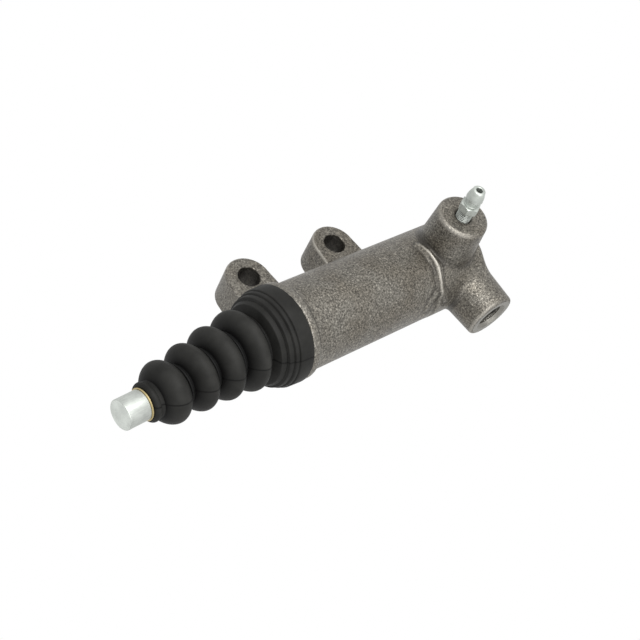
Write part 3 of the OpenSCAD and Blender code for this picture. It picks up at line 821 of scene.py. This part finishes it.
def boot_outer():
    """Outline of the boot's outside from the bead to the flange."""
    bead = arc(LIP_X + LIP_W / 2, LIP_R - LIP_W / 2, LIP_W / 2, 180, 15, 14)
    folds = [fold_outline(0)]
    for i in range(1, len(FOLD_R)):
        folds += [valley_ring(i - 1), fold_outline(i)]
    last_ring = arc(FOLD_TO - 0.15, valley_r(len(FOLD_R)), VALLEY_RING_R, 180, 0, 9)
    return np.vstack([bead, *folds, last_ring, collar_outline()])


def boot_inner_r(x):
    """The inside lies a wall's width under the folds, and grips the rod and the spigot."""
    wave = 0.5 - 0.5 * np.cos(2 * np.pi * np.clip((x - FOLD_FROM) / FOLD_PITCH, 0, 4))
    along = np.clip((x - FOLD_FROM) / (FOLD_TO - FOLD_FROM), 0, 1)
    low = valley_r(1) - BOOT_WALL + (valley_r(4) - valley_r(1)) * along
    free = low + (FOLD_DEPTH - 0.2) * wave
    grip = np.where(x < LIP_X + LIP_W + 0.3, ROD_R + BOOT_FIT, free)
    return np.where(x > -SPIGOT_LEN - BOOT_FIT, SPIGOT_R + BOOT_FIT, grip)


def bent_boot(points):
    """Bends the straight boot: its centre line starts square to the flange and ends along the
    rod, a cubic between, and each ring stays square to the centre line."""
    x, y, z = points.T
    span = FOLD_TO - LIP_X
    s = np.clip((FOLD_TO - x) / span, 0, 1)
    far = (BALL_X - LIP_X) * math.tan(ROD_LEAN)
    rise = span * math.tan(ROD_LEAN)
    shift = -(far * (3 * s ** 2 - 2 * s ** 3) + rise * (s ** 3 - s ** 2))
    slope = (far * (6 * s - 6 * s ** 2) + rise * (3 * s ** 2 - 2 * s)) / span
    return np.stack([x - y * slope, shift + y, z], -1)


def boot_length(name, start, end):
    """One length of the boot between two places, closed by its own inside wall."""
    outer = boot_outer()
    outer = outer[(outer[:, 0] > start - 1e-6) & (outer[:, 0] < end + 1e-6)]
    inner_x = np.linspace(outer[-1, 0], outer[0, 0], 120)
    inner = np.stack([inner_x, boot_inner_r(inner_x)], -1)
    points, faces = turned(np.vstack([outer, inner]), BOOT_SIDES)
    made = add_piece(name, bent_boot(points), faces, boot_rubber, 55)
    # Painted shade, deepest at the feet of the valleys between the folds and none on their crests; the
    # bead and the collar are darkened evenly by a little.
    crest = np.interp(points[:, 0], FOLD_MIDDLES, FOLD_R)
    depth = (crest - np.hypot(points[:, 1], points[:, 2])) / FOLD_DEPTH
    in_folds = (points[:, 0] > FOLD_FROM) & (points[:, 0] < FOLD_TO)
    mark(made, "valley", np.where(in_folds, np.clip(depth, 0, 1) * 0.9, 0.3))
    return made


parting_normal = (0.0, math.sin(PARTING_TURN), math.cos(PARTING_TURN))
boot_rubber = moulded_rubber("boot_rubber", (0.018, 0.0177, 0.0162), (parting_normal, BARREL_AT * MM))
part_x = FOLD_FROM + FOLD_PITCH
boot_rear = boot_length("boot_rear", part_x, FLANGE_FROM)
boot_front = boot_length("boot_front", LIP_X - 0.1, part_x)
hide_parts("boot")
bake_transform(boot_rear)
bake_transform(boot_front)

# Bleed screw: turned from hexagon bar and zinc plated. From the boss upwards it shows its
# thread, the hexagon for the spanner, a neck and a drilled barb for the bleeding hose.
THREAD_TOP = BOSS_TOP + 3.6
HEX_LEN = 3.3
HEX_HALF = 3.5
NECK_LEN = 2.6
NECK_R = 2.3
BARB_R = 3.35
BARB_TIP_R = 2.4
BARB_LEN = 5.2
DRILL_R = 1.3
SCREW_R = 2.95
SCREW_PITCH = 0.8
SCREW_THREAD = 0.5
SCREW_ROWS = 110
THREAD_LOW = BOSS_TOP - 9
THREAD_END = THREAD_TOP - 0.35
HEX_ROUND = 0.5
hex_top = THREAD_TOP + HEX_LEN
barb_from = hex_top + NECK_LEN
screw_top = barb_from + BARB_LEN


def screw_shape(along, out, around):
    """Cuts the thread below the hexagon and the hexagon itself. The thread is a wave that rises
    one pitch in a turn; the hexagon's flats are a straight line in each sixth of the circle, and
    its corners are turned off by a cone at both ends."""
    wave = np.abs(((along / SCREW_PITCH - around / (2 * np.pi)) % 1) * 2 - 1)
    thread = (along < THREAD_END) & (along > THREAD_LOW) & (out > SCREW_R - 0.01)
    out = out - np.where(thread, SCREW_THREAD * wave, 0)
    sixth = (around + np.pi / 6) % (np.pi / 3) - np.pi / 6
    flat = HEX_HALF / np.cos(sixth)
    from_end = np.minimum(along - THREAD_TOP, hex_top - along)
    cone = HEX_HALF * 0.99 + np.maximum(from_end, 0) * 2.2
    in_hexagon = (out > HEX_HALF + 0.6)
    return np.where(in_hexagon, np.minimum(flat, cone), out)


screw_rows = np.linspace(THREAD_LOW, THREAD_END, SCREW_ROWS)
hex_low_rows = np.linspace(THREAD_TOP, THREAD_TOP + HEX_ROUND, 5)
hex_high_rows = np.linspace(hex_top - HEX_ROUND, hex_top, 5)
hex_rows = np.concatenate([hex_low_rows, hex_high_rows])
screw_profile = np.vstack([
    [(BOSS_TOP - 11, 1.4), (BOSS_TOP - 9.3, SCREW_R - 0.2)],
    np.stack([screw_rows, np.full(SCREW_ROWS, SCREW_R)], -1),
    [(THREAD_TOP - 0.2, SCREW_R - 0.35), (THREAD_TOP - 0.01, SCREW_R - 0.35)],
    np.stack([hex_rows, np.full(len(hex_rows), HEX_HALF + 1)], -1),
    [(hex_top + 0.02, NECK_R + 0.2), (hex_top + 0.3, NECK_R)],
    [(barb_from - 0.2, NECK_R), (barb_from, NECK_R + 0.2), (barb_from + 0.1, BARB_R - 0.4)],
    arc(barb_from + 0.6, BARB_R - 0.45, 0.45, 160, 80, 7),
    [(barb_from + 2.4, BARB_R - 0.22), (screw_top - 1.2, BARB_TIP_R + 0.25)],
    arc(screw_top - 0.8, BARB_TIP_R - 0.62, 0.8, 62, 10, 7),
    [(screw_top, DRILL_R + 0.25), (screw_top - 0.25, DRILL_R)],
    [(screw_top - 8, DRILL_R), (screw_top - 8.4, 0.2)],
])
screw_points, screw_faces = turned(screw_profile, 120, False, screw_shape)
screw_depth = (SCREW_R - np.hypot(screw_points[:, 1], screw_points[:, 2])) / SCREW_THREAD
in_thread = (screw_points[:, 0] > THREAD_LOW) & (screw_points[:, 0] < THREAD_TOP - 0.3)


def on_boss(points):
    """Puts a piece turned on the X axis onto the leaning axis of the bleeder boss."""
    x, y, z = points.T
    c, s = math.cos(BOSS_LEAN), math.sin(BOSS_LEAN)
    return np.stack([BOSS_X - x * s + y * c, z, x * c + y * s], -1)


screw_points, screw_faces = outward(on_boss(screw_points), screw_faces)
screw_zinc = machined_metal("screw_zinc", (0.55, 0.58, 0.54), 0.3, 0.42, (0.15, 0.15, 1))
bleed_screw = add_piece("bleed_screw_turned", screw_points, screw_faces, screw_zinc, 35)
# Painted shade in the grooves of the screw's thread.
mark(bleed_screw, "painted_shade", np.where(in_thread, np.clip(screw_depth, 0, 0.9), 0))
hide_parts("bleed_screw")
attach(bleed_screw, "bleeder")
